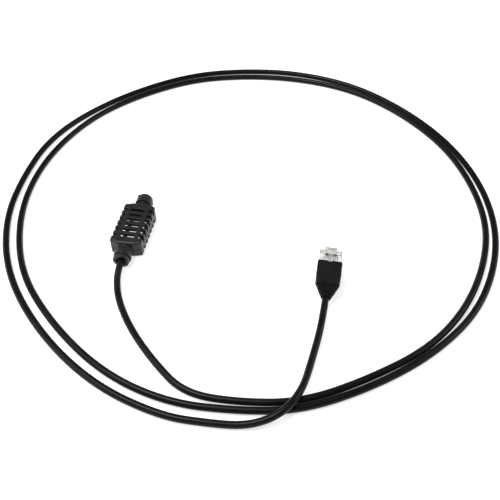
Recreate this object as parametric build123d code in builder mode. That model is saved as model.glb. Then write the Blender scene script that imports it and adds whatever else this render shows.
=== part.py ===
from build123d import *
import os
from math import radians, tan

os.makedirs("parts", exist_ok=True)

# Rack temperature sensor: a slotted head on a long lead that ends in a modular plug.
# Millimetres, +Z up. The head lies along Y, its lead leaves it towards -Y.

# Head housing, two half shells that meet at mid height
body_width = 17.2
body_length = 31.4
body_height = 10.0
wall = 1.2
end_flat = 8.0
shoulder = 1.4
corner_radius = 1.0
edge_radius = 1.1
seam_width = 0.24
seam_depth = 0.2

# Slots, in rows across the head: one in the middle and one over each long edge
slot_rows = 6
slot_pitch = 4.0
slot_width = 2.1
slot_corner = 0.4
edge_slot_width = 2.35
middle_slot = 7.8
slot_bar = 2.0
slot_rim = 1.6

# Cable end of the head: a neck, a collar, a groove and a smaller end ring
neck_radius = 4.1
neck_length = 4.3
collar_radius = 4.75
collar_length = 1.8
collar_groove = 1.0
collar_groove_depth = 0.75
end_ring_length = 1.5
end_ring_step = 0.4
mouth_radius = 2.9
mouth_depth = 1.0

# Far end of the head: a neck, a ring and a smaller cap with a lug on each half
boss_neck_radius = 3.6
boss_neck_length = 3.2
boss_radius = 4.75
boss_ring = 3.0
boss_cap = 3.3
boss_cap_step = 0.6
boss_core_radius = 2.4
boss_end_wall = 1.5
cap_edge = 0.7
ring_edge = 0.25
lug_width = 1.3
lug_angle = 145
lug_setback = 0.4

# Seam between the halves: a lip on the lower one, pins in four posts
lip_thickness = 0.6
lip_height = 0.8
lip_gap = 0.1
post_radius = 1.2
post_side = 2.7
post_inset = 3.3
pin_radius = 0.6
pin_height = 1.2
pin_gap = 0.06
clamp_width = 1.2
clamp_side = 2.1

# Lead
cable_diameter = 3.5
cable_gap = 0.1
jacket_into_neck = 1.7
lead_straight = 3.25
ferrule_radius = 2.7
ferrule_length = 3.0
ferrule_gap = 0.1
ferrule_from_end = 1.9

# Circuit board and what is soldered to it
board_side_gap = 0.5
board_post_gap = 0.4
board_length = 6.7
board_thickness = 1.0
board_inset = 3.5
board_step = 1.2
ledge_height = 1.4
ledge_width = 1.2
chip_size = 3.0
chip_height = 1.0
chip_lift = 0.1
chip_edge = 3.7
chip_back = 2.6
lead_pitch = 0.65
lead_count = 4
lead_width = 0.3
lead_thickness = 0.15
lead_reach = 0.95
lead_rise = 0.55
small_part_length = 2.0
small_part_width = 1.25
small_part_height = 0.6
small_part_cap = 0.45
small_part_waist = 0.08
small_part_edge = 2.7
small_part_back = 1.2
small_part_pitch = 2.0

# Insulated conductors
wire_diameter = 0.9
wire_bundle = 1.0
wire_bend = 0.6
pad_pitch_inner = 1.6
pad_pitch_outer = 4.4
pad_back = 0.8
wire_arch = 1.45

# Plug body with its latch, lying latch side up
plug_x = 107.5
plug_axis = 4.5
plug_width = 11.68
plug_height = 6.6
plug_length = 18.05
plug_floor = 1.0
shank_length = 3.6
shank_width = 8.4
shank_height = 5.6
nose_chamfer = 0.25
jacket_pocket_width = 6.8
jacket_pocket_height = 4.0
jacket_pocket_depth = 7.0
jacket_into_plug = 6.6
latch_width = 6.1
latch_length = 5.4
latch_setback = 0.4
latch_root = 1.3
latch_front_height = 2.4
latch_rise = 0.5
latch_thickness = 1.3
latch_tail_width = 2.6
latch_tail_length = 10.2
latch_tail_thickness = 1.1
latch_tail_lift = 0.8

# Contacts and conductors in the plug
contact_count = 8
contact_pitch = 1.02
contact_thickness = 0.35
contact_length = 3.4
contact_setback = 0.8
contact_recess = 0.4
contact_notch = 0.7
contact_notch_depth = 0.8
contact_round = 0.5
contact_slot_gap = 0.06
plug_wire_count = 4
plug_wire_diameter = 0.95
plug_wire_height = 4.2
plug_wire_gap = 0.05
plug_wire_setback = 1.9

# Boot: a straight sleeve on the plug, a foot that closes in under a flat top, then a ribbed tail
boot_rear = -31.8
boot_width = 12.6
boot_height = 10.4
boot_length = 20.35
boot_top_corner = 1.1
boot_foot_corner = 0.9
boot_front_edge = 0.25
boot_taper = 11.9
brow_length = 5.0
brow_width = 12.3
brow_foot_width = 7.0
brow_foot = 0.6
brow_top_corner = 1.6
brow_foot_corner = 1.6
boot_tail = 4.7
boot_tail_corner = 2.1
plug_into_boot = 8.0
groove_count = 5
groove_first = 0.4
groove_pitch = 0.98
groove_width = 0.55
groove_depth = 0.5
latch_room_width = 3.2
latch_room_height = 2.2
latch_room_depth = 7.0
latch_notch = 0.6
latch_notch_width = 2.4

# Places that follow from the sizes above
axis_height = body_height / 2
cable_end_length = neck_length + collar_length + collar_groove + end_ring_length
far_end_length = boss_neck_length + boss_ring + boss_cap
head_length = cable_end_length + body_length + far_end_length
near_end = -head_length / 2
near_face = near_end + cable_end_length
far_face = near_face + body_length
far_end = far_face + far_end_length
body_middle = (near_face + far_face) / 2
head_axis = Axis((0, 0, axis_height), (0, 1, 0))
bore_radius = cable_diameter / 2 + cable_gap
collar_start = near_face - neck_length - collar_length
collar_groove_radius = collar_radius - collar_groove_depth
end_ring_radius = collar_radius - end_ring_step
cap_start = far_end - boss_cap
cap_radius = boss_radius - boss_cap_step
jacket_end = near_face - jacket_into_neck - cable_gap
ferrule_start = near_end + ferrule_from_end
edge_slot_start = middle_slot / 2 + slot_bar
edge_slot_reach = body_width / 2 - edge_slot_start + corner_radius
edge_slot_x = edge_slot_start + edge_slot_reach / 2
edge_slot_depth = axis_height - slot_rim
inner_half = body_width / 2 - wall
post_x = body_width / 2 - post_side
post_span = body_length - 2 * post_inset
board_width = 2 * (inner_half - board_side_gap)
board_tongue = 2 * (post_x - post_radius - board_post_gap)
board_start = near_face + board_inset
board_end = board_start + board_length
board_bottom = wall + ledge_height
board_top = board_bottom + board_thickness
bar_y = body_middle - slot_pitch * (slot_rows - 2) / 2
chip_x = board_width / 2 - chip_edge
chip_y = board_end - chip_back
small_part_x = small_part_edge - board_width / 2
boot_front = boot_rear + boot_length
brow_height = boot_height - brow_foot
brow_middle = brow_foot + brow_height / 2
plug_rear = boot_front - plug_into_boot
plug_front = plug_rear + plug_length
plug_top = plug_floor + plug_height
shank_rear = plug_rear - shank_length
plug_jacket_end = shank_rear + jacket_into_plug
lie = cable_diameter / 2


def facing(x, y, z):
    """Upright plane at a point, seen along +Y, with its normal towards -Y."""
    return Plane(origin=(x, y, z), x_dir=(1, 0, 0), z_dir=(0, -1, 0))


def save(piece, name):
    """Label a finished piece and write it as its own STEP file."""
    piece.part.label = name
    export_step(piece.part, f"parts/{name}.step")


def body_plan(inset=0, mode=Mode.ADD):
    """Plan of the housing: an oblong whose four corners are cut back to narrow ends."""
    side = body_width / 2 - inset
    flat = end_flat / 2
    tip = body_length / 2 - inset
    cut = tip - shoulder
    right = [(flat, tip), (side, cut), (side, -cut), (flat, -tip)]
    left = [(-x, y) for x, y in reversed(right)]
    Polygon(*right, *left, mode=mode)


def boot_section(sketch, top_width, foot_width, height, top_corner, foot_corner):
    """Section across the boot: wide on top, narrower at its foot, with a radius for each."""
    top = height / 2
    head = [(-top_width / 2, top), (top_width / 2, top)]
    foot = [(foot_width / 2, -top), (-foot_width / 2, -top)]
    Polygon(*head, *foot)
    fillet(sketch.vertices().group_by(Axis.Y)[-1], top_corner)
    fillet(sketch.vertices().group_by(Axis.Y)[0], foot_corner)


def ring(start, end, radius):
    """Half section of a round about the head's axis, for a sketch on Plane.YZ."""
    with Locations(((start + end) / 2, axis_height + radius / 2)):
        Rectangle(end - start, radius)


# What is bored along the head's axis: cable bore, ferrule pocket, mouth and the boss's core
pocket_start = ferrule_start - ferrule_gap
pocket_end = ferrule_start + ferrule_length + ferrule_gap
with BuildPart() as bores:
    with BuildSketch(Plane.YZ):
        ring(near_end, near_end + mouth_depth, mouth_radius)
        ring(near_end, near_face + wall, bore_radius)
        ring(pocket_start, pocket_end, ferrule_radius + ferrule_gap)
        ring(far_face - wall, far_end - boss_end_wall, boss_core_radius)
    revolve(axis=head_axis)

# Whole housing form, hollow and slotted, before it is parted
with BuildPart() as form:
    with BuildSketch(Plane((0, body_middle, 0))):
        body_plan()
    extrude(amount=body_height)
    fillet(form.edges().filter_by(Axis.Z), corner_radius)
    flats = form.faces().sort_by(Axis.Z)
    fillet(flats[0].edges() + flats[-1].edges(), edge_radius)
    with BuildSketch(Plane((0, body_middle, axis_height - seam_width / 2))):
        Rectangle(2 * body_width, 2 * body_length)
        body_plan(seam_depth, Mode.SUBTRACT)
    extrude(amount=seam_width, mode=Mode.SUBTRACT)
    with BuildSketch(Plane.YZ) as spools:
        ring(near_end, near_end + end_ring_length, end_ring_radius)
        ring(near_end, collar_start, collar_groove_radius)
        ring(collar_start, near_face - neck_length, collar_radius)
        ring(near_face - neck_length, near_face + wall, neck_radius)
        ring(far_face - wall, cap_start, boss_neck_radius)
        ring(cap_start - boss_ring, cap_start, boss_radius)
        ring(cap_start, far_end, cap_radius)
        rounds = [axis_height + radius for radius in (end_ring_radius, collar_radius, boss_radius)]
        rims = spools.vertices().filter_by(lambda v: min(abs(v.Y - level) for level in rounds) < ring_edge / 100)
        fillet(rims, ring_edge)
        fillet(spools.vertices().group_by(Axis.X)[-1].sort_by(Axis.Y)[-1], cap_edge)
    revolve(axis=head_axis)
    with BuildSketch(facing(0, cap_start, axis_height)):
        with PolarLocations((boss_core_radius + boss_radius) / 2, 2, lug_angle):
            Rectangle(boss_radius - boss_core_radius, lug_width)
    extrude(amount=lug_setback - boss_cap)
    with BuildSketch(Plane((0, body_middle, wall))):
        body_plan()
        offset(amount=-wall, kind=Kind.INTERSECTION)
    extrude(amount=body_height - 2 * wall, mode=Mode.SUBTRACT)
    with BuildSketch(Plane((0, body_middle, body_height))):
        with GridLocations(0, slot_pitch, 1, slot_rows):
            RectangleRounded(middle_slot, slot_width, slot_corner)
    extrude(amount=-body_height, mode=Mode.SUBTRACT)
    for level, depth in ((body_height, -edge_slot_depth), (0, edge_slot_depth)):
        with BuildSketch(Plane((0, body_middle, level))):
            with GridLocations(2 * edge_slot_x, slot_pitch, 2, slot_rows):
                RectangleRounded(edge_slot_reach, edge_slot_width, slot_corner)
        extrude(amount=depth, mode=Mode.SUBTRACT)

# Lower half: lip, posts with pins and the ledges that carry the board
with BuildPart() as housing_bottom:
    add(form.part)
    split(bisect_by=Plane.XY.offset(axis_height), keep=Keep.BOTTOM)
    with BuildSketch(Plane((0, body_middle, axis_height))):
        body_plan()
        offset(amount=lip_thickness - wall, kind=Kind.INTERSECTION)
    extrude(amount=lip_height)
    with BuildSketch(Plane((0, body_middle, axis_height))):
        body_plan()
        offset(amount=-wall, kind=Kind.INTERSECTION)
    extrude(amount=lip_height, mode=Mode.SUBTRACT)
    with BuildSketch(Plane((0, body_middle, wall))):
        with GridLocations(2 * post_x, post_span, 2, 2):
            Circle(post_radius)
    extrude(amount=axis_height - wall)
    with BuildSketch(Plane((0, body_middle, axis_height))):
        with GridLocations(2 * post_x, post_span, 2, 2):
            Circle(pin_radius)
    extrude(amount=pin_height)
    with BuildSketch(Plane.XY.offset(wall)):
        with Locations((0, bar_y)):
            Rectangle(2 * inner_half, ledge_width)
        with Locations((0, board_start + ledge_width / 2)):
            Rectangle(board_tongue, ledge_width)
    extrude(amount=ledge_height)
    add(bores.part, mode=Mode.SUBTRACT)
save(housing_bottom, "housing_bottom")

# Upper half: rebate for the lip, posts with sockets and the clamps that hold the board down
with BuildPart() as housing_top:
    add(form.part)
    split(bisect_by=Plane.XY.offset(axis_height), keep=Keep.TOP)
    with BuildSketch(Plane((0, body_middle, axis_height))):
        body_plan()
        offset(amount=lip_thickness + lip_gap - wall, kind=Kind.INTERSECTION)
    extrude(amount=lip_height + lip_gap, mode=Mode.SUBTRACT)
    with BuildSketch(Plane((0, body_middle, axis_height))):
        with GridLocations(2 * post_x, post_span, 2, 2):
            Circle(post_radius)
    extrude(amount=axis_height - wall)
    with BuildSketch(Plane((0, body_middle, axis_height))):
        with GridLocations(2 * post_x, post_span, 2, 2):
            Circle(pin_radius + pin_gap)
    extrude(amount=pin_height + pin_gap, mode=Mode.SUBTRACT)
    with BuildSketch(Plane((0, bar_y, board_top))):
        with GridLocations(body_width - 2 * clamp_side, 0, 2, 1):
            Rectangle(clamp_width, clamp_width)
    extrude(amount=body_height - wall - board_top)
    add(bores.part, mode=Mode.SUBTRACT)
save(housing_top, "housing_top")

# Circuit board, stepped in beside the posts
with BuildPart() as circuit_board:
    with BuildSketch(Plane.XY.offset(board_bottom)):
        with Locations((0, (board_start + board_step + board_end) / 2)):
            Rectangle(board_width, board_length - board_step)
        with Locations((0, board_start + board_step / 2)):
            Rectangle(board_tongue, board_step)
    extrude(amount=board_thickness)
save(circuit_board, "circuit_board")

# Temperature sensor chip and its eight gull wing leads
with BuildPart() as sensor_chip:
    with BuildSketch(Plane((chip_x, chip_y, board_top + chip_lift))):
        Rectangle(chip_size, chip_size)
    extrude(amount=chip_height)
    chamfer(sensor_chip.faces().sort_by(Axis.Z)[-1].edges(), chip_lift)
save(sensor_chip, "sensor_chip")

with BuildPart() as chip_leads:
    for index in range(lead_count):
        lead_y = chip_y + (index - (lead_count - 1) / 2) * lead_pitch
        with BuildSketch(facing(chip_x, lead_y + lead_width / 2, board_top)):
            for side in (-1, 1):
                root = side * chip_size / 2
                knee = root + side * lead_reach / 3
                tip = root + side * lead_reach
                with Locations(((root + knee) / 2, lead_rise - lead_thickness / 2)):
                    Rectangle(lead_reach / 3, lead_thickness)
                with Locations((knee, lead_rise / 2)):
                    Rectangle(lead_thickness, lead_rise)
                with Locations(((knee + tip) / 2, lead_thickness / 2)):
                    Rectangle(lead_reach * 2 / 3, lead_thickness)
        extrude(amount=lead_width)
save(chip_leads, "chip_leads")

# Capacitor and resistor, each with a slightly thinner middle between its end caps
for index, name in enumerate(("capacitor", "resistor")):
    small_part_y = board_end - small_part_back - index * small_part_pitch
    with BuildPart() as small_part:
        with BuildSketch(Plane((small_part_x, small_part_y, board_top))):
            Rectangle(small_part_length, small_part_width)
        extrude(amount=small_part_height)
        with BuildSketch(facing(small_part_x, small_part_y + small_part_width, board_top)):
            with Locations((0, small_part_height)):
                Rectangle(small_part_length - 2 * small_part_cap, 2 * small_part_waist)
        extrude(amount=2 * small_part_width, mode=Mode.SUBTRACT)
    save(small_part, name)

# Ferrule crimped round the jacket, held in its pocket in the neck
with BuildPart() as cable_ferrule:
    with BuildSketch(facing(0, ferrule_start, axis_height)):
        Circle(ferrule_radius)
        Circle(cable_diameter / 2, mode=Mode.SUBTRACT)
    extrude(amount=-ferrule_length)
save(cable_ferrule, "cable_ferrule")

# Four conductors from the stripped end of the jacket down to the board's pads
wire_starts = [
    (-1, 1, -pad_pitch_outer / 2),
    (-1, -1, -pad_pitch_inner / 2),
    (1, -1, pad_pitch_inner / 2),
    (1, 1, pad_pitch_outer / 2),
]
for index, (side, level, pad_x) in enumerate(wire_starts):
    wire_x = side * wire_bundle / 2
    wire_z = axis_height + level * wire_bundle / 2
    pad_y = board_start + pad_back
    with BuildPart() as head_wire:
        with BuildLine() as wire_path:
            FilletPolyline(
                (wire_x, jacket_end, wire_z),
                (wire_x, near_face + wall, wire_z),
                (pad_x, pad_y, board_top + wire_arch + level * wire_bundle / 2),
                (pad_x, pad_y, board_top),
                radius=wire_bend,
            )
        with BuildSketch(facing(wire_x, jacket_end, wire_z)):
            Circle(wire_diameter / 2)
        sweep(path=wire_path.wire())
    save(head_wire, f"head_wire_{index + 1}")

# Lead, laid in two loose turns on the floor and over itself to the plug
route = [
    (0, jacket_end, axis_height),
    (0, near_end - lead_straight, axis_height),
    (1.5, -38.4, 2.3),
    (7.2, -50, lie),
    (17.8, -65, lie),
    (32.6, -81.5, lie),
    (50, -96, lie),
    (76, -96, lie),
    (102.3, -89.8, lie),
    (129.5, -72, lie),
    (156.2, -51, lie),
    (176.6, -25.5, lie),
    (187.8, 6.5, lie),
    (190.8, 39, lie),
    (182.8, 73, lie),
    (166.8, 106, lie),
    (140.3, 137.7, lie),
    (107.7, 159.5, lie),
    (69.8, 168, lie),
    (32.3, 166.2, lie),
    (-3.7, 155.8, lie),
    (-36, 131.8, lie),
    (-57.8, 102.7, lie),
    (-70.2, 67.5, lie),
    (-73.3, 32, lie),
    (-66.2, -2.7, lie),
    (-49.2, -38, lie),
    (-21.5, -66, lie),
    (11.3, -88.6, lie),
    (44, -99.4, lie),
    (76, -100.3, lie),
    (102.3, -94.3, lie),
    (130, -77.1, lie),
    (157.2, -55.7, lie),
    (180.2, -27.5, lie),
    (193.2, 6.5, lie),
    (196, 41, lie),
    (187.8, 76.5, lie),
    (170.2, 112, lie),
    (142.7, 143.7, lie),
    (109, 168, lie),
    (70, 177.7, lie),
    (33.3, 174, lie),
    (-4, 164.5, lie),
    (-38, 139.5, lie),
    (-64.5, 106.6, lie),
    (-81.2, 73, lie),
    (-82.2, 36.8, lie),
    (-74.9, 0.2, lie),
    (-57.7, -38, lie),
    (-28, -70.2, lie),
    (7.3, -94.7, lie),
    (42, -107, lie),
    (66, -107.8, lie),
    (79, -106.2, 3.2),
    (89, -103, 6.6),
    (96.4, -97.2, 8.75),
    (101.6, -87, 8.75),
    (103.8, -72, 2.8),
    (plug_x, -44.5, plug_axis),
    (plug_x, plug_jacket_end, plug_axis),
]
arc_share = 0.45
corners = [Vector(*point) for point in route]
radii = []
for before, corner, after in zip(corners, corners[1:], corners[2:]):
    turn = (corner - before).get_angle(after - corner)
    shorter = min((corner - before).length, (after - corner).length)
    radii.append(arc_share * shorter / tan(radians(turn / 2)))
print("lead bend radii:", [round(radius, 1) for radius in radii])

with BuildPart() as cable:
    with BuildLine() as cable_path:
        FilletPolyline(*route, radius=radii)
    with BuildSketch(facing(0, jacket_end, axis_height)):
        Circle(cable_diameter / 2)
    sweep(path=cable_path.wire())
cable_length = cable_path.wire().length
print("lead length:", round(cable_length, 1))
print("volume against section times length:", cable.part.volume / (3.14159265 * lie ** 2 * cable_length))
save(cable, "cable")

# Slabs outside a slimmer core, which leave the boot's ribs standing
core_tail = boot_tail - 2 * groove_depth
core_tail_corner = boot_tail_corner - groove_depth
core_top_corner = brow_top_corner - groove_depth
core_foot_corner = brow_foot_corner - groove_depth
core_width = brow_width - 2 * groove_depth
core_foot_width = brow_foot_width - 2 * groove_depth
core_height = brow_height - 2 * groove_depth
with BuildPart() as grooves:
    for index in range(groove_count):
        with BuildSketch(facing(plug_x, boot_rear + groove_first + index * groove_pitch, plug_axis)):
            Rectangle(2 * boot_width, 4 * boot_height)
        extrude(amount=-groove_width)
    with BuildSketch(facing(plug_x, boot_rear, plug_axis)) as slim_tail:
        boot_section(slim_tail, core_tail, core_tail, core_tail, core_tail_corner, core_tail_corner)
    with BuildSketch(facing(plug_x, boot_rear + brow_length, brow_middle)) as slim_brow:
        boot_section(slim_brow, core_width, core_foot_width, core_height, core_top_corner, core_foot_corner)
    loft(ruled=True, mode=Mode.SUBTRACT)

# Boot moulded over the plug's rear end
with BuildPart() as plug_boot:
    with BuildSketch(facing(plug_x, boot_rear, plug_axis)) as tail:
        boot_section(tail, boot_tail, boot_tail, boot_tail, boot_tail_corner, boot_tail_corner)
    with BuildSketch(facing(plug_x, boot_rear + brow_length, brow_middle)) as brow:
        boot_section(brow, brow_width, brow_foot_width, brow_height, brow_top_corner, brow_foot_corner)
    with BuildSketch(facing(plug_x, boot_rear + boot_taper, boot_height / 2)) as sleeve:
        boot_section(sleeve, boot_width, boot_width, boot_height, boot_top_corner, boot_foot_corner)
    loft(ruled=True)
    extrude(plug_boot.faces().sort_by(Axis.Y)[-1], amount=boot_length - boot_taper)
    fillet(plug_boot.faces().sort_by(Axis.Y)[-1].edges(), boot_front_edge)
    add(grooves.part, mode=Mode.SUBTRACT)
    with BuildSketch(facing(plug_x, boot_rear, plug_axis)):
        Circle(bore_radius)
    extrude(amount=-boot_length, mode=Mode.SUBTRACT)
    with BuildSketch(facing(plug_x, shank_rear, plug_axis)):
        Rectangle(shank_width, shank_height)
    extrude(amount=-boot_length, mode=Mode.SUBTRACT)
    with BuildSketch(facing(plug_x, plug_rear, plug_floor + plug_height / 2)):
        Rectangle(plug_width, plug_height)
    extrude(amount=-boot_length, mode=Mode.SUBTRACT)
    with BuildSketch(facing(plug_x, boot_front, plug_top + latch_room_height / 2)):
        Rectangle(latch_room_width, latch_room_height)
    extrude(amount=latch_room_depth, mode=Mode.SUBTRACT)
    with BuildSketch(facing(plug_x, boot_front, boot_height)):
        Rectangle(latch_notch_width, latch_room_height)
    extrude(amount=latch_notch, mode=Mode.SUBTRACT)
save(plug_boot, "plug_boot")

# Plug body: one clear moulding with its latch, contact slots and wire channels
contact_top = plug_wire_height - plug_wire_diameter / 2
channel_end = plug_front - plug_wire_setback
with BuildPart() as plug_body:
    with BuildSketch(facing(plug_x, plug_rear, plug_floor + plug_height / 2)):
        Rectangle(plug_width, plug_height)
    extrude(amount=-plug_length)
    chamfer(plug_body.faces().sort_by(Axis.Y)[-1].edges(), nose_chamfer)
    with BuildSketch(facing(plug_x, shank_rear, plug_axis)):
        Rectangle(shank_width, shank_height)
    extrude(amount=-shank_length)
    latch_front = plug_front - latch_setback
    latch_back = latch_front - latch_length
    latch_top = plug_top + latch_front_height
    with BuildSketch(Plane.YZ.offset(plug_x - latch_width / 2)):
        with BuildLine():
            Polyline(
                (latch_front, plug_top),
                (latch_front, latch_top),
                (latch_back, latch_top + latch_rise),
                (latch_back, latch_top + latch_rise - latch_thickness),
                (latch_front - latch_root, plug_top + latch_front_height - latch_thickness),
                (latch_front - latch_root, plug_top),
                close=True,
            )
        make_face()
    extrude(amount=latch_width)
    tail_bottom = plug_top + latch_tail_lift
    with BuildSketch(Plane.YZ.offset(plug_x - latch_tail_width / 2)):
        with Locations((latch_back - latch_tail_length / 2 + latch_root / 2, tail_bottom + latch_tail_thickness / 2)):
            Rectangle(latch_tail_length + latch_root, latch_tail_thickness)
    extrude(amount=latch_tail_width)
    with BuildSketch(facing(plug_x, shank_rear, plug_axis)):
        Rectangle(jacket_pocket_width, jacket_pocket_height)
    extrude(amount=-jacket_pocket_depth, mode=Mode.SUBTRACT)
    with BuildSketch(facing(plug_x, plug_rear, plug_wire_height)):
        with GridLocations(contact_pitch, 0, plug_wire_count, 1):
            Circle(plug_wire_diameter / 2 + plug_wire_gap)
    extrude(amount=plug_rear - channel_end, mode=Mode.SUBTRACT)
    slot_length = contact_setback + contact_length + contact_slot_gap
    with BuildSketch(Plane((plug_x, plug_front - slot_length / 2, plug_floor))):
        with GridLocations(contact_pitch, 0, contact_count, 1):
            Rectangle(contact_thickness + 2 * contact_slot_gap, slot_length)
    extrude(amount=contact_top - plug_floor, mode=Mode.SUBTRACT)
save(plug_body, "plug_body")

# Gold blades in the plug's slots, with two teeth up to the conductors
for index in range(contact_count):
    contact_x = plug_x + (index - (contact_count - 1) / 2) * contact_pitch
    contact_front = plug_front - contact_setback
    contact_bottom = plug_floor + contact_recess
    contact_height = contact_top - contact_bottom
    with BuildPart() as contact:
        with BuildSketch(Plane.YZ.offset(contact_x - contact_thickness / 2)) as blade:
            with Locations((contact_front - contact_length / 2, contact_bottom + contact_height / 2)):
                Rectangle(contact_length, contact_height)
            fillet(blade.vertices().group_by(Axis.Y)[0], contact_round)
            with Locations((contact_front - contact_length / 2, contact_top)):
                Rectangle(contact_notch, 2 * contact_notch_depth, mode=Mode.SUBTRACT)
        extrude(amount=contact_thickness)
    save(contact, f"contact_{index + 1}")

# Conductors from the end of the jacket into the plug's channels
for index in range(plug_wire_count):
    wire_x = plug_x + (index - (plug_wire_count - 1) / 2) * contact_pitch
    with BuildPart() as plug_wire:
        with BuildSketch(facing(wire_x, plug_jacket_end, plug_wire_height)):
            Circle(plug_wire_diameter / 2)
        extrude(amount=plug_jacket_end - channel_end)
    save(plug_wire, f"plug_wire_{index + 1}")
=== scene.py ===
"""Rack temperature sensor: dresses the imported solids, lays the lead as a smooth cord and lights them."""

import logging
import math
from dataclasses import dataclass
from enum import Enum

import bmesh
import bpy
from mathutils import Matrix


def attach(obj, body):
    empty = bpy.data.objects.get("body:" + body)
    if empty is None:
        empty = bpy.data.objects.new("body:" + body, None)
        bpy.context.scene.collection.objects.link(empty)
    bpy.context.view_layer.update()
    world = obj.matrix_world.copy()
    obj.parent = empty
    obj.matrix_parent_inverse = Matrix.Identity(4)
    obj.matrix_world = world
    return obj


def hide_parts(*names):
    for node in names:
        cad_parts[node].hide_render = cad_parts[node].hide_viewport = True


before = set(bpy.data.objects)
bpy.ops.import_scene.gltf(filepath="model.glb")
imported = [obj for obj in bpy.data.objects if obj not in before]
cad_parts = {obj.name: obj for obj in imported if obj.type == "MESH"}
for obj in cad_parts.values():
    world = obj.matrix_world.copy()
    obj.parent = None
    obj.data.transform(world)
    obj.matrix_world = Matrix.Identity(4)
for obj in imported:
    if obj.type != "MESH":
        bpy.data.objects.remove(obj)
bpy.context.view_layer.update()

LOG = logging.getLogger("rack_temperature_sensor")
MM = 0.001
ROOT_BODY = "root"

Color = tuple[float, float, float]
Point = tuple[float, float, float]
Span = tuple[float, float]
Socket = bpy.types.NodeSocket

WHITE = (1.0, 1.0, 1.0, 1.0)
# Values between which most of a noise lies.
NOISE_MIDDLE: Span = (0.3, 0.7)
MOTTLE_DETAIL = 3.0
GRAIN_DETAIL = 2.0
# Samples of the nodes that look at the surface around a place.
NEARBY_SAMPLES = 6
# Cosine between the rounded and the flat normal where an edge begins, and where it is full.
EDGE_TURN: Span = (0.97, 0.80)
# Share of the rubbing that shows, from patch to patch.
RUB_PATCHES: Span = (0.5, 1.0)
# Share of the roughness that is left on a rubbed edge.
RUB_POLISH = 0.7
SURFACE_IOR = 1.5
# Name of the cord's own map, which runs along it, and how far the grain is stretched on it.
CORD_MAP = "UVMap"
CORD_STRETCH: Point = (0.06, 0.011, 1.0)
# Where the plug's middle plane stands on X.
PLUG_MIDDLE = 107.5 * MM


class Slot(Enum):
    """Material slots of the record that the scene gives a finish to."""

    HOUSING = "housing"
    JACKET = "jacket"
    BOOT = "boot"
    CLEAR_PLUG = "clear_plug"
    CONTACTS = "contacts"
    BOARD = "board"
    CHIP = "chip"
    TINNED = "tinned"
    CAPACITOR = "capacitor"
    WIRE_WHITE = "wire_white"
    WIRE_GREY = "wire_grey"


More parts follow.
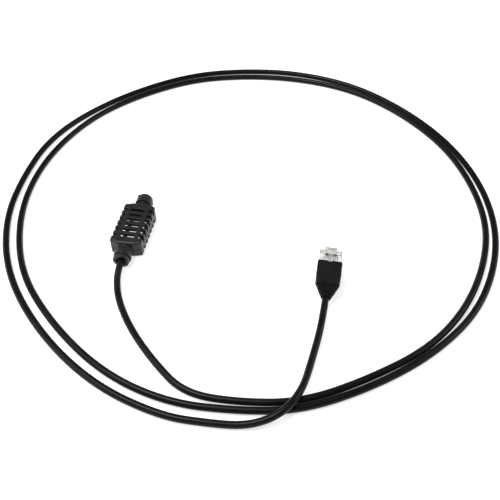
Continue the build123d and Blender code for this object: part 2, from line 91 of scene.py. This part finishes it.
class NodeKit:
    """Adds shader nodes to one node tree and links them."""

    def __init__(self, tree: bpy.types.NodeTree) -> None:
        """Start with an empty tree."""
        self.tree = tree
        tree.nodes.clear()

    def feed(self, socket: Socket, value: object) -> None:
        """Give an input a value, or link it from an output.

        Args:
            socket: Input of a node.
            value: Plain value, or the socket to link from.
        """
        if isinstance(value, Socket):
            self.tree.links.new(value, socket)
        else:
            socket.default_value = value

    def add(self, kind: str, **inputs: object) -> bpy.types.Node:
        """Add one node and feed its inputs.

        Args:
            kind: Type name of the node.
            inputs: Input name, with _ for spaces, to a value or to a socket to link from.

        Returns:
            The new node.
        """
        node = self.tree.nodes.new(kind)
        for name, value in inputs.items():
            self.feed(node.inputs[name.replace("_", " ")], value)
        return node

    def reckon(self, kind: str, operation: str, *values: object) -> bpy.types.Node:
        """Add one node that reckons, and feed its inputs in order.

        Args:
            kind: Type name of the node.
            operation: Name of the operation.
            values: Values, or sockets to link from.

        Returns:
            The new node.
        """
        node = self.tree.nodes.new(kind)
        node.operation = operation
        for socket, value in zip(node.inputs, values):
            self.feed(socket, value)
        return node

    def math(self, operation: str, *values: object) -> Socket:
        """Reckon with numbers."""
        return self.reckon("ShaderNodeMath", operation, *values).outputs[0]

    def measure(self, operation: str, *vectors: Socket) -> Socket:
        """Reckon with vectors to one number."""
        return self.reckon("ShaderNodeVectorMath", operation, *vectors).outputs["Value"]

    def shaded(self, color: Socket, share: Socket) -> Socket:
        """Multiply a colour by a share.

        Args:
            color: Colour to shade.
            share: Factor at each place.

        Returns:
            The new colour's socket.
        """
        node = self.reckon("ShaderNodeVectorMath", "SCALE", color)
        self.feed(node.inputs["Scale"], share)
        return node.outputs[0]

    def noise(self, vector: Socket, size: float, detail: float) -> Socket:
        """Noise whose lumps have a size in metres."""
        node = self.add("ShaderNodeTexNoise", Vector=vector, Scale=1.0 / size, Detail=detail)
        return node.outputs["Fac"]

    def ramp(self, value: Socket, start: float, end: float, low: float = 0.0, high: float = 1.0) -> Socket:
        """Run from low to high between two values, and hold those outside."""
        limits = {"From_Min": start, "From_Max": end, "To_Min": low, "To_Max": high}
        return self.add("ShaderNodeMapRange", Value=value, **limits).outputs["Result"]

    def span(self, value: Socket, low: float, high: float) -> Socket:
        """Spread the middle of a noise over a range."""
        return self.ramp(value, *NOISE_MIDDLE, low, high)

    def inside(self, value: Socket, start: float, end: float, soft: float) -> Socket:
        """One between two places on an axis and zero outside them.

        Args:
            value: Coordinate.
            start: Lower place.
            end: Upper place.
            soft: Length of the change at each place.

        Returns:
            The mask's socket.
        """
        rise = self.ramp(value, start - soft, start)
        fall = self.ramp(value, end, end + soft, 1.0, 0.0)
        return self.math("MULTIPLY", rise, fall)

    def tint(self, value: Socket, dark: Color, light: Color) -> Socket:
        """Run the middle of a noise from one colour to another.

        Args:
            value: Noise value.
            dark: Colour where the noise is low.
            light: Colour where the noise is high.

        Returns:
            The colour's socket.
        """
        node = self.add("ShaderNodeValToRGB", Fac=value)
        for stop, position, color in zip(node.color_ramp.elements, NOISE_MIDDLE, (dark, light)):
            stop.position = position
            stop.color = (*color, 1.0)
        return node.outputs["Color"]

    def rounded(self, radius: float) -> Socket:
        """Normal of a surface whose sharp edges are rounded.

        Args:
            radius: Radius of the rounding in metres.

        Returns:
            The normal's socket.
        """
        node = self.add("ShaderNodeBevel", Radius=radius)
        node.samples = NEARBY_SAMPLES
        return node.outputs["Normal"]

    def edges(self, normal: Socket) -> Socket:
        """Find sharp edges from how much a rounded normal differs from the surface's own.

        Args:
            normal: Normal with rounded edges.

        Returns:
            A mask that is one on edges.
        """
        flat = self.add("ShaderNodeNewGeometry").outputs["Normal"]
        turn = self.measure("DOT_PRODUCT", normal, flat)
        return self.ramp(turn, *EDGE_TURN)

    def openness(self, reach: float) -> Socket:
        """Tell open faces from grooves and corners.

        Args:
            reach: Distance in metres at which a wall still shades a place.

        Returns:
            A mask that is one on open faces and near zero in deep grooves.
        """
        node = self.add("ShaderNodeAmbientOcclusion", Distance=reach)
        node.samples = NEARBY_SAMPLES
        node.only_local = True
        return node.outputs["AO"]

    def by_ray(self, lighting: bpy.types.Node, seen: bpy.types.Node) -> Socket:
        """Light the object with one shader, and show another to the camera, reflections and clear pieces.

        Args:
            lighting: Shader that lights the object.
            seen: Shader that is seen.

        Returns:
            The mixed shader's socket.
        """
        path = self.add("ShaderNodeLightPath").outputs
        direct = self.math("MAXIMUM", path["Is Camera Ray"], path["Is Glossy Ray"])
        mix = self.add("ShaderNodeMixShader", Fac=self.math("MAXIMUM", direct, path["Is Transmission Ray"]))
        self.feed(mix.inputs[1], lighting.outputs[0])
        self.feed(mix.inputs[2], seen.outputs[0])
        return mix.outputs[0]


def scaled(color: Color, factor: float) -> Color:
    """Make a colour lighter or darker."""
    return (color[0] * factor, color[1] * factor, color[2] * factor)


@dataclass(frozen=True)
class PaintedShadeBand:
    """Box in which painted shade darkens the clear plug's colour, for the dark look of a clear moulding's
    thick edges and for the shadows beside its latch.

    Attributes:
        across: Distances from the plug's middle plane in millimetres, on both sides of it.
        along: Lower and upper Y in millimetres.
        up: Lower and upper Z in millimetres.
        tone: Share of the colour that is left.
        soft: Length of the change at each side in millimetres.
    """

    across: Span
    along: Span
    up: Span
    tone: float
    soft: float = 0.15

    def mask(self, kit: NodeKit, place: Socket) -> Socket:
        """How much colour the painted shade leaves at each place.

        Args:
            kit: Nodes of the material.
            place: Object coordinates.

        Returns:
            A socket that is one outside the box and the tone inside it.
        """
        axes = kit.add("ShaderNodeSeparateXYZ", Vector=place).outputs
        aside = kit.math("ABSOLUTE", kit.math("SUBTRACT", axes["X"], PLUG_MIDDLE))
        sides = ((aside, self.across), (axes["Y"], self.along), (axes["Z"], self.up))
        fills = [kit.inside(axis, low * MM, high * MM, self.soft * MM) for axis, (low, high) in sides]
        filled = kit.math("MULTIPLY", kit.math("MULTIPLY", fills[0], fills[1]), fills[2])
        return kit.ramp(filled, 0.0, 1.0, 1.0, self.tone)


@dataclass(frozen=True)
class WearAndGrooveShade:
    """Rounded and rubbed edges of a moulding, and painted shade that darkens its grooves.

    Attributes:
        rubbed: Share by which rubbed edges are lighter.
        painted_groove_shade: Share by which painted shade darkens grooves and inner corners.
        edge: Radius of the edges in metres.
        reach: Distance in metres at which a wall still shades a groove.
    """

    rubbed: float
    painted_groove_shade: float
    edge: float = 0.2 * MM
    reach: float = 1.2 * MM

    def apply(
        self, kit: NodeKit, bump: bpy.types.Node, slow: Socket, color: Socket, rough: Socket
    ) -> tuple[Socket, Socket]:
        """Round and rub the edges of a surface, patchy and only where nothing covers them, and darken its
        grooves with painted shade.

        Args:
            kit: Nodes of the material.
            bump: Bump node of the surface's grain, which gets the rounded edges.
            slow: Slow noise.
            color: Colour of the new surface.
            rough: Roughness of the new surface.

        Returns:
            Colour and roughness of the worn surface.
        """
        normal = kit.rounded(self.edge)
        kit.feed(bump.inputs["Normal"], normal)
        bare = kit.openness(self.reach)
        exposed = kit.math("MULTIPLY", kit.edges(normal), bare)
        worn = kit.math("MULTIPLY", exposed, kit.span(slow, *RUB_PATCHES))
        color = kit.shaded(color, kit.ramp(worn, 0.0, 1.0, 1.0, 1.0 + self.rubbed))
        # Painted shade: grooves and inner corners are darker where walls stand near.
        color = kit.shaded(color, kit.ramp(bare, 0.0, 1.0, 1.0 - self.painted_groove_shade, 1.0))
        return color, kit.math("MULTIPLY", rough, kit.ramp(worn, 0.0, 1.0, 1.0, RUB_POLISH))


@dataclass(frozen=True)
class Finish:
    """Procedural finish of one material slot.

    Attributes:
        slot: Record slot that the finish belongs to.
        color: Linear base colour.
        tone: Share by which the colour varies over the surface.
        roughness: Lowest and highest roughness.
        grain: Size of the surface grain in metres.
        depth: Height of the grain in metres.
        mottle: Size of the slow colour and gloss changes in metres.
        metallic: Metallic weight.
        specular: Specular level.
        transmission: Transmission weight.
        drawn: Whether the grain runs along the piece, as on an extruded jacket.
        wear_and_groove_shade: Worn edges, and painted shade in its grooves, where it shows any.
        painted_shade_bands: Boxes of painted shade on its colour.
    """

    slot: Slot
    color: Color
    tone: float
    roughness: Span
    grain: float
    depth: float
    mottle: float
    metallic: float = 0.0
    specular: float = 0.5
    transmission: float = 0.0
    drawn: bool = False
    wear_and_groove_shade: WearAndGrooveShade | None = None
    painted_shade_bands: tuple[PaintedShadeBand, ...] = ()

    def build(self) -> bpy.types.Material:
        """Make the material.

        Returns:
            The new material.
        """
        material = bpy.data.materials.new(f"finish_{self.slot.value}")
        material.use_nodes = True
        kit = NodeKit(material.node_tree)
        place = kit.add("ShaderNodeTexCoord").outputs["Object"]
        slow = kit.noise(place, self.mottle, MOTTLE_DETAIL)
        fine = kit.noise(self.along(kit) if self.drawn else place, self.grain, GRAIN_DETAIL)
        bump = kit.add("ShaderNodeBump", Strength=1.0, Distance=self.depth, Height=fine)
        color = kit.tint(slow, scaled(self.color, 1.0 - self.tone), scaled(self.color, 1.0 + self.tone))
        rough = kit.span(slow, *self.roughness)
        # Painted shade darkens the colour inside each band.
        for band in self.painted_shade_bands:
            color = kit.shaded(color, band.mask(kit, place))
        # Worn edges and painted shade in grooves, where the finish has them.
        if self.wear_and_groove_shade:
            color, rough = self.wear_and_groove_shade.apply(kit, bump, slow, color, rough)
        shader = kit.add(
            "ShaderNodeBsdfPrincipled",
            Base_Color=color,
            Roughness=rough,
            Metallic=self.metallic,
            IOR=SURFACE_IOR,
            Specular_IOR_Level=self.specular,
            Transmission_Weight=self.transmission,
            Normal=bump.outputs["Normal"],
        )
        kit.add("ShaderNodeOutputMaterial", Surface=shader.outputs["BSDF"])
        return material

    def along(self, kit: NodeKit) -> Socket:
        """Coordinates that follow a cord, stretched along it.

        Args:
            kit: Nodes of the material.

        Returns:
            The vector's socket.
        """
        strip = kit.add("ShaderNodeUVMap")
        strip.uv_map = CORD_MAP
        return kit.add("ShaderNodeMapping", Vector=strip.outputs["UV"], Scale=CORD_STRETCH).outputs["Vector"]


# Painted shade on the clear plug: its thick edges look dark, and the latch's rear shoulders cast shadows.
PLUG_PAINTED_SHADE: tuple[PaintedShadeBand, ...] = (
    # Upper edge of the nose.
    PaintedShadeBand(across=(0.0, 6.3), along=(-1.9, -1.0), up=(6.4, 7.8), tone=0.35),
    # Front edge of the latch.
    PaintedShadeBand(across=(0.0, 3.5), along=(-1.9, -1.0), up=(9.2, 12.0), tone=0.2),
    # Line across the latch.
    PaintedShadeBand(across=(0.0, 3.5), along=(-4.1, -3.6), up=(9.9, 12.0), tone=0.7),
    # Upper edges of both sides.
    PaintedShadeBand(across=(5.4, 6.3), along=(-12.0, -1.0), up=(7.2, 7.8), tone=0.65),
    # Painted shadow behind the rear shoulders of the latch.
    PaintedShadeBand(across=(1.4, 3.5), along=(-7.4, -6.6), up=(8.0, 12.0), tone=0.35),
)

FINISHES: tuple[Finish, ...] = (
    Finish(
        Slot.HOUSING,
        color=(0.014, 0.014, 0.015),
        tone=0.15,
        roughness=(0.32, 0.44),
        grain=0.16 * MM,
        depth=0.010 * MM,
        mottle=5.0 * MM,
        specular=0.34,
        # Rubbed edges, and painted shade in the slots.
        wear_and_groove_shade=WearAndGrooveShade(rubbed=2.0, painted_groove_shade=0.7),
    ),
    Finish(
        Slot.JACKET,
        color=(0.0040, 0.0040, 0.0042),
        tone=0.2,
        roughness=(0.32, 0.44),
        grain=0.6 * MM,
        depth=0.008 * MM,
        mottle=9.0 * MM,
        specular=0.16,
        drawn=True,
    ),
    Finish(
        Slot.BOOT,
        color=(0.0085, 0.0085, 0.0089),
        tone=0.15,
        roughness=(0.42, 0.54),
        grain=0.35 * MM,
        depth=0.020 * MM,
        mottle=4.0 * MM,
        specular=0.07,
        # Rubbed edges, and painted shade deep in the grooves between the ribs.
        wear_and_groove_shade=WearAndGrooveShade(rubbed=1.0, painted_groove_shade=0.95, reach=1.0 * MM),
    ),
    Finish(
        Slot.CLEAR_PLUG,
        color=(0.93, 0.935, 0.92),
        tone=0.03,
        roughness=(0.06, 0.14),
        grain=0.8 * MM,
        depth=0.004 * MM,
        mottle=2.5 * MM,
        transmission=0.78,
        # Painted shade along its edges and behind the latch.
        painted_shade_bands=PLUG_PAINTED_SHADE,
    ),
    Finish(
        Slot.CONTACTS,
        color=(0.86, 0.60, 0.22),
        tone=0.06,
        roughness=(0.18, 0.28),
        grain=0.2 * MM,
        depth=0.003 * MM,
        mottle=1.0 * MM,
        metallic=1.0,
    ),
    Finish(
        Slot.BOARD,
        color=(0.02, 0.11, 0.05),
        tone=0.2,
        roughness=(0.3, 0.4),
        grain=0.6 * MM,
        depth=0.010 * MM,
        mottle=1.2 * MM,
    ),
    Finish(
        Slot.CHIP,
        color=(0.015, 0.015, 0.016),
        tone=0.1,
        roughness=(0.5, 0.6),
        grain=0.15 * MM,
        depth=0.008 * MM,
        mottle=1.0 * MM,
    ),
    Finish(
        Slot.TINNED,
        color=(0.62, 0.62, 0.60),
        tone=0.08,
        roughness=(0.25, 0.4),
        grain=0.2 * MM,
        depth=0.004 * MM,
        mottle=0.8 * MM,
        metallic=1.0,
    ),
    Finish(
        Slot.CAPACITOR,
        color=(0.42, 0.29, 0.17),
        tone=0.1,
        roughness=(0.45, 0.55),
        grain=0.2 * MM,
        depth=0.006 * MM,
        mottle=0.8 * MM,
    ),
    Finish(
        Slot.WIRE_WHITE,
        color=(0.75, 0.75, 0.72),
        tone=0.04,
        roughness=(0.35, 0.45),
        grain=0.3 * MM,
        depth=0.004 * MM,
        mottle=2.0 * MM,
    ),
    Finish(
        Slot.WIRE_GREY,
        color=(0.45, 0.47, 0.49),
        tone=0.05,
        roughness=(0.35, 0.45),
        grain=0.3 * MM,
        depth=0.004 * MM,
        mottle=2.0 * MM,
    ),
)


def wire_slot(index: int) -> Slot:
    """Conductors are white and grey in turn."""
    return Slot.WIRE_WHITE if index % 2 else Slot.WIRE_GREY


class Paint:
    """All the finishes of the scene, made once each."""

    def __init__(self) -> None:
        """Build every finish."""
        self.materials = {finish.slot: finish.build() for finish in FINISHES}

    def dress(self, node: str, slot: Slot) -> bpy.types.Object:
        """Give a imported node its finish.

        Args:
            node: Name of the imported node.
            slot: Finish that it takes.

        Returns:
            The node's object.
        """
        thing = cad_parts[node]
        thing.data.materials.clear()
        thing.data.materials.append(self.materials[slot])
        LOG.info("dressed %s as %s", node, slot.value)
        return thing


@dataclass
class SensorHead:
    """The slotted head: two moulded halves and the board between them.

    Attributes:
        paint: Finishes of the scene.
        wires: Number of conductors that reach the board.
    """

    paint: Paint
    wires: int = 4

    def build(self) -> None:
        """Dress the housing and all that is inside it."""
        for half in ("housing_top", "housing_bottom"):
            self.paint.dress(half, Slot.HOUSING)
        self.paint.dress("circuit_board", Slot.BOARD)
        self.paint.dress("sensor_chip", Slot.CHIP)
        self.paint.dress("resistor", Slot.CHIP)
        self.paint.dress("capacitor", Slot.CAPACITOR)
        for name in ("chip_leads", "cable_ferrule"):
            self.paint.dress(name, Slot.TINNED)
        for index in range(1, self.wires + 1):
            self.paint.dress(f"head_wire_{index}", wire_slot(index))


@dataclass
class Plug:
    """The clear plug with its contacts, conductors and boot.

    Attributes:
        paint: Finishes of the scene.
        contacts: Number of contacts in its nose.
        wires: Number of conductors that reach them.
    """

    paint: Paint
    contacts: int = 8
    wires: int = 4

    def build(self) -> list[bpy.types.Object]:
        """Dress every piece of the plug.

        Returns:
            The pieces that lie on the lead's end.
        """
        pieces = [self.paint.dress("plug_boot", Slot.BOOT), self.paint.dress("plug_body", Slot.CLEAR_PLUG)]
        for index in range(1, self.contacts + 1):
            pieces.append(self.paint.dress(f"contact_{index}", Slot.CONTACTS))
        for index in range(1, self.wires + 1):
            pieces.append(self.paint.dress(f"plug_wire_{index}", wire_slot(index)))
        return pieces


# Height of the lead's middle line where it lies on the floor, in millimetres.
LIE = 1.75
# The lead's route, from the head round two loose turns and over itself to the plug, in millimetres.
ROUTE_MM: tuple[Point, ...] = (
    (0, -17.95, 5.0),
    (0, -28, 5.0),
    (1.5, -38.4, 2.3),
    (6.9, -50.3, LIE),
    (17.6, -65.4, LIE),
    (32.8, -81, LIE),
    (50.2, -94.9, LIE),
    (76, -95.2, LIE),
    (102.6, -90.6, LIE),
    (130.9, -73.8, LIE),
    (158.1, -52.2, LIE),
    (176.3, -25.4, LIE),
    (187.4, 6.5, LIE),
    (191.2, 39, LIE),
    (184.5, 74, LIE),
    (169.3, 108.4, LIE),
    (141.5, 139.7, LIE),
    (108.2, 161.3, LIE),
    (69.8, 169, LIE),
    (32.3, 166.2, LIE),
    (-3.3, 154.9, LIE),
    (-34.6, 130.1, LIE),
    (-56.9, 102, LIE),
    (-69.6, 67.3, LIE),
    (-72.5, 32, LIE),
    (-66.2, -2.7, LIE),
    (-49.9, -38.3, LIE),
    (-22.6, -66.9, LIE),
    (10.4, -90.2, LIE),
    (43.8, -100.7, LIE),
    (76, -99.5, LIE),
    (102.4, -94.7, LIE),
    (131.2, -78.7, LIE),
    (158.7, -56.6, LIE),
    (181.2, -27.8, LIE),
    (193.2, 6.5, LIE),
    (196, 41, LIE),
    (189, 77.2, LIE),
    (171.3, 113.1, LIE),
    (143, 144.3, LIE),
    (108.8, 167.3, LIE),
    (70, 176.3, LIE),
    (33.4, 173.6, LIE),
    (-3.1, 162.4, LIE),
    (-36.1, 137.1, LIE),
    (-62.5, 105.1, LIE),
    (-77.2, 72, LIE),
    (-79.1, 36.2, LIE),
    (-74.9, 0.2, LIE),
    (-58.1, -38.2, LIE),
    (-29, -71, LIE),
    (6.5, -96.1, LIE),
    (41.8, -107.6, LIE),
    (66, -107.4, LIE),
    (79, -106.2, 1.9),
    (89, -103, 4.0),
    (96.4, -97.2, 5.75),
    (101.6, -87, 5.75),
    (103.8, -72, 1.9),
    (107.5, -44.5, 4.5),
    (107.5, -16.45, 4.5),
)


@dataclass
class Lead:
    """The lead: one smooth cord along the route, on the floor and over itself to the plug.

    Attributes:
        paint: Finishes of the scene.
        diameter: Outside diameter in metres.
        length: Real length of the route in metres. Not used.
        exit: Point where the lead leaves the head's collar. Not used.
        sides: Bevel resolution of its round section.
        steps: Curve steps between two route points.
        order: Order of the spline, which makes it smooth.
    """

    paint: Paint
    diameter: float = 3.5 * MM
    length: float = 1.915
    exit: Point = (0.0, -24.75 * MM, 5.0 * MM)
    sides: int = 6
    steps: int = 8
    order: int = 3

    def build(self, pieces: list[bpy.types.Object]) -> bpy.types.Object:
        """Args:
            pieces: What lies on its far end. Not used.

        Returns:
            The cord's object.
        """
        cord = bpy.data.objects.new("lead_cord", self.curve())
        bpy.context.scene.collection.objects.link(cord)
        cord.data.materials.append(self.paint.materials[Slot.JACKET])
        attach(cord, ROOT_BODY)
        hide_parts("cable")
        LOG.info("laid lead_cord")
        return cord

    def curve(self) -> bpy.types.Curve:
        """Make the round curve along the route.

        Returns:
            The new curve.
        """
        curve = bpy.data.curves.new("lead_cord", "CURVE")
        curve.dimensions = "3D"
        curve.bevel_depth = self.diameter / 2
        curve.bevel_resolution = self.sides
        curve.resolution_u = self.steps
        curve.use_fill_caps = True
        spline = curve.splines.new("NURBS")
        spline.points.add(len(ROUTE_MM) - 1)
        for point, (x, y, z) in zip(spline.points, ROUTE_MM):
            point.co = (x * MM, y * MM, z * MM, 1.0)
        spline.order_u = self.order
        spline.use_endpoint_u = True
        return curve


@dataclass(frozen=True)
class SoftLamp:
    """One area lamp that faces the object.

    Attributes:
        name: Name of the lamp.
        place: Where it stands, in metres.
        size: Width and height in metres.
        power: Power in watts.
        aim: Point that it faces.
    """

    name: str
    place: Point
    size: Span
    power: float
    aim: Point = (0.06, 0.03, 0.0)

    def build(self) -> None:
        """Add the lamp to the scene."""
        data = bpy.data.lights.new(self.name, "AREA")
        data.shape = "RECTANGLE"
        data.size, data.size_y = self.size
        data.energy = self.power
        lamp = bpy.data.objects.new(self.name, data)
        lamp.location = self.place
        x, y, z = (here - there for here, there in zip(self.place, self.aim))
        lamp.rotation_euler = (math.atan2(math.hypot(x, y), z), 0.0, math.atan2(x, -y))
        bpy.context.scene.collection.objects.link(lamp)
        LOG.info("lit %s", self.name)


LAMPS: tuple[SoftLamp, ...] = (
    SoftLamp("key_lamp", place=(-0.22, -0.06, 0.9), size=(0.26, 0.26), power=7.0),
    SoftLamp("left_lamp", place=(-0.8, -0.3, 0.6), size=(0.6, 0.5), power=2.5),
    SoftLamp("right_lamp", place=(0.8, 0.25, 0.6), size=(0.3, 0.3), power=2.5),
)


@dataclass
class Studio:
    """Pale floor, soft light and the photo's camera.

    Attributes:
        camera_place: Camera position in metres.
        camera_turn: Camera rotation in degrees.
        lens: Focal length in millimetres.
        sensor: Width of the camera's sensor in millimetres.
        near: Distance in metres from which the camera sees.
        floor_half: Half the side of the floor in metres.
        floor_drop: Depth of the floor below the object in metres.
        floor_glow: Light that the floor itself shows, near the object and far from it.
        floor_fade: Distances from the object in metres between which that light changes.
        floor_color: Diffuse grey of the floor.
        ambient: Strength of the world's light.
        ceiling: Brightness overhead, as reflections show it.
        ceiling_rise: Steepness of a direction where the ceiling begins, and where it is full.
    """

    camera_place: Point = (0.10557, -0.25056, 0.262)
    camera_turn: Point = (44.0, 0.0, 9.4)
    lens: float = 48.67
    sensor: float = 36.0
    near: float = 0.01
    floor_half: float = 3.0
    floor_drop: float = 0.05 * MM
    floor_glow: Span = (0.62, 0.76)
    floor_fade: Span = (0.3, 1.2)
    floor_color: float = 0.55
    ambient: float = 0.55
    ceiling: float = 0.05
    ceiling_rise: Span = (0.1, 0.4)

    def build(self) -> None:
        """Set up everything that isn't part of the object."""
        self.add_camera()
        self.add_world()
        self.add_floor()
        for lamp in LAMPS:
            lamp.build()
        bpy.context.scene.view_settings.view_transform = "Standard"
        LOG.info("studio ready")

    def add_camera(self) -> None:
        """Place the camera where the photo was taken from."""
        data = bpy.data.cameras.new("photo_camera")
        data.sensor_width = self.sensor
        data.lens = self.lens
        data.clip_start = self.near
        camera = bpy.data.objects.new("photo_camera", data)
        camera.location = self.camera_place
        camera.rotation_euler = tuple(math.radians(angle) for angle in self.camera_turn)
        bpy.context.scene.collection.objects.link(camera)
        bpy.context.scene.camera = camera

    def add_world(self) -> None:
        """White surroundings under a dim ceiling, which light the object gently."""
        world = bpy.data.worlds.new("studio_world")
        bpy.context.scene.world = world
        world.use_nodes = True
        kit = NodeKit(world.node_tree)
        light = kit.add("ShaderNodeBackground", Color=WHITE, Strength=self.ambient)
        around = kit.add("ShaderNodeTexCoord").outputs["Generated"]
        steepness = kit.add("ShaderNodeSeparateXYZ", Vector=around).outputs["Z"]
        fade = kit.ramp(steepness, *self.ceiling_rise, 1.0, self.ceiling)
        room = kit.add("ShaderNodeBackground", Color=WHITE, Strength=fade)
        kit.add("ShaderNodeOutputWorld", Surface=kit.by_ray(light, room))

    def floor_finish(self) -> bpy.types.Material:
        """Make the floor's white material, which keeps the object's soft shadow.

        Returns:
            The new material.
        """
        material = bpy.data.materials.new("studio_floor")
        material.use_nodes = True
        kit = NodeKit(material.node_tree)
        tone = self.floor_color
        matt = kit.add("ShaderNodeBsdfDiffuse", Color=(tone, tone, tone, 1.0))
        away = kit.measure("LENGTH", kit.add("ShaderNodeTexCoord").outputs["Object"])
        shine = kit.ramp(away, *self.floor_fade, *self.floor_glow)
        glow = kit.add("ShaderNodeEmission", Color=WHITE, Strength=shine)
        both = kit.add("ShaderNodeAddShader")
        kit.feed(both.inputs[0], matt.outputs[0])
        kit.feed(both.inputs[1], glow.outputs[0])
        kit.add("ShaderNodeOutputMaterial", Surface=kit.by_ray(matt, both))
        return material

    def add_floor(self) -> None:
        """Lay the floor just below the object."""
        mesh = bpy.data.meshes.new("studio_floor")
        shape = bmesh.new()
        bmesh.ops.create_grid(shape, x_segments=1, y_segments=1, size=self.floor_half)
        bmesh.ops.translate(shape, verts=shape.verts, vec=(0.0, 0.0, -self.floor_drop))
        shape.to_mesh(mesh)
        shape.free()
        mesh.materials.append(self.floor_finish())
        floor = bpy.data.objects.new("studio_floor", mesh)
        bpy.context.scene.collection.objects.link(floor)


def main() -> None:
    """Build the scene in order."""
    logging.basicConfig(level=logging.INFO, format="%(message)s")
    paint = Paint()
    SensorHead(paint).build()
    pieces = Plug(paint).build()
    Lead(paint).build(pieces)
    Studio().build()


if __name__ == "__main__":
    main()
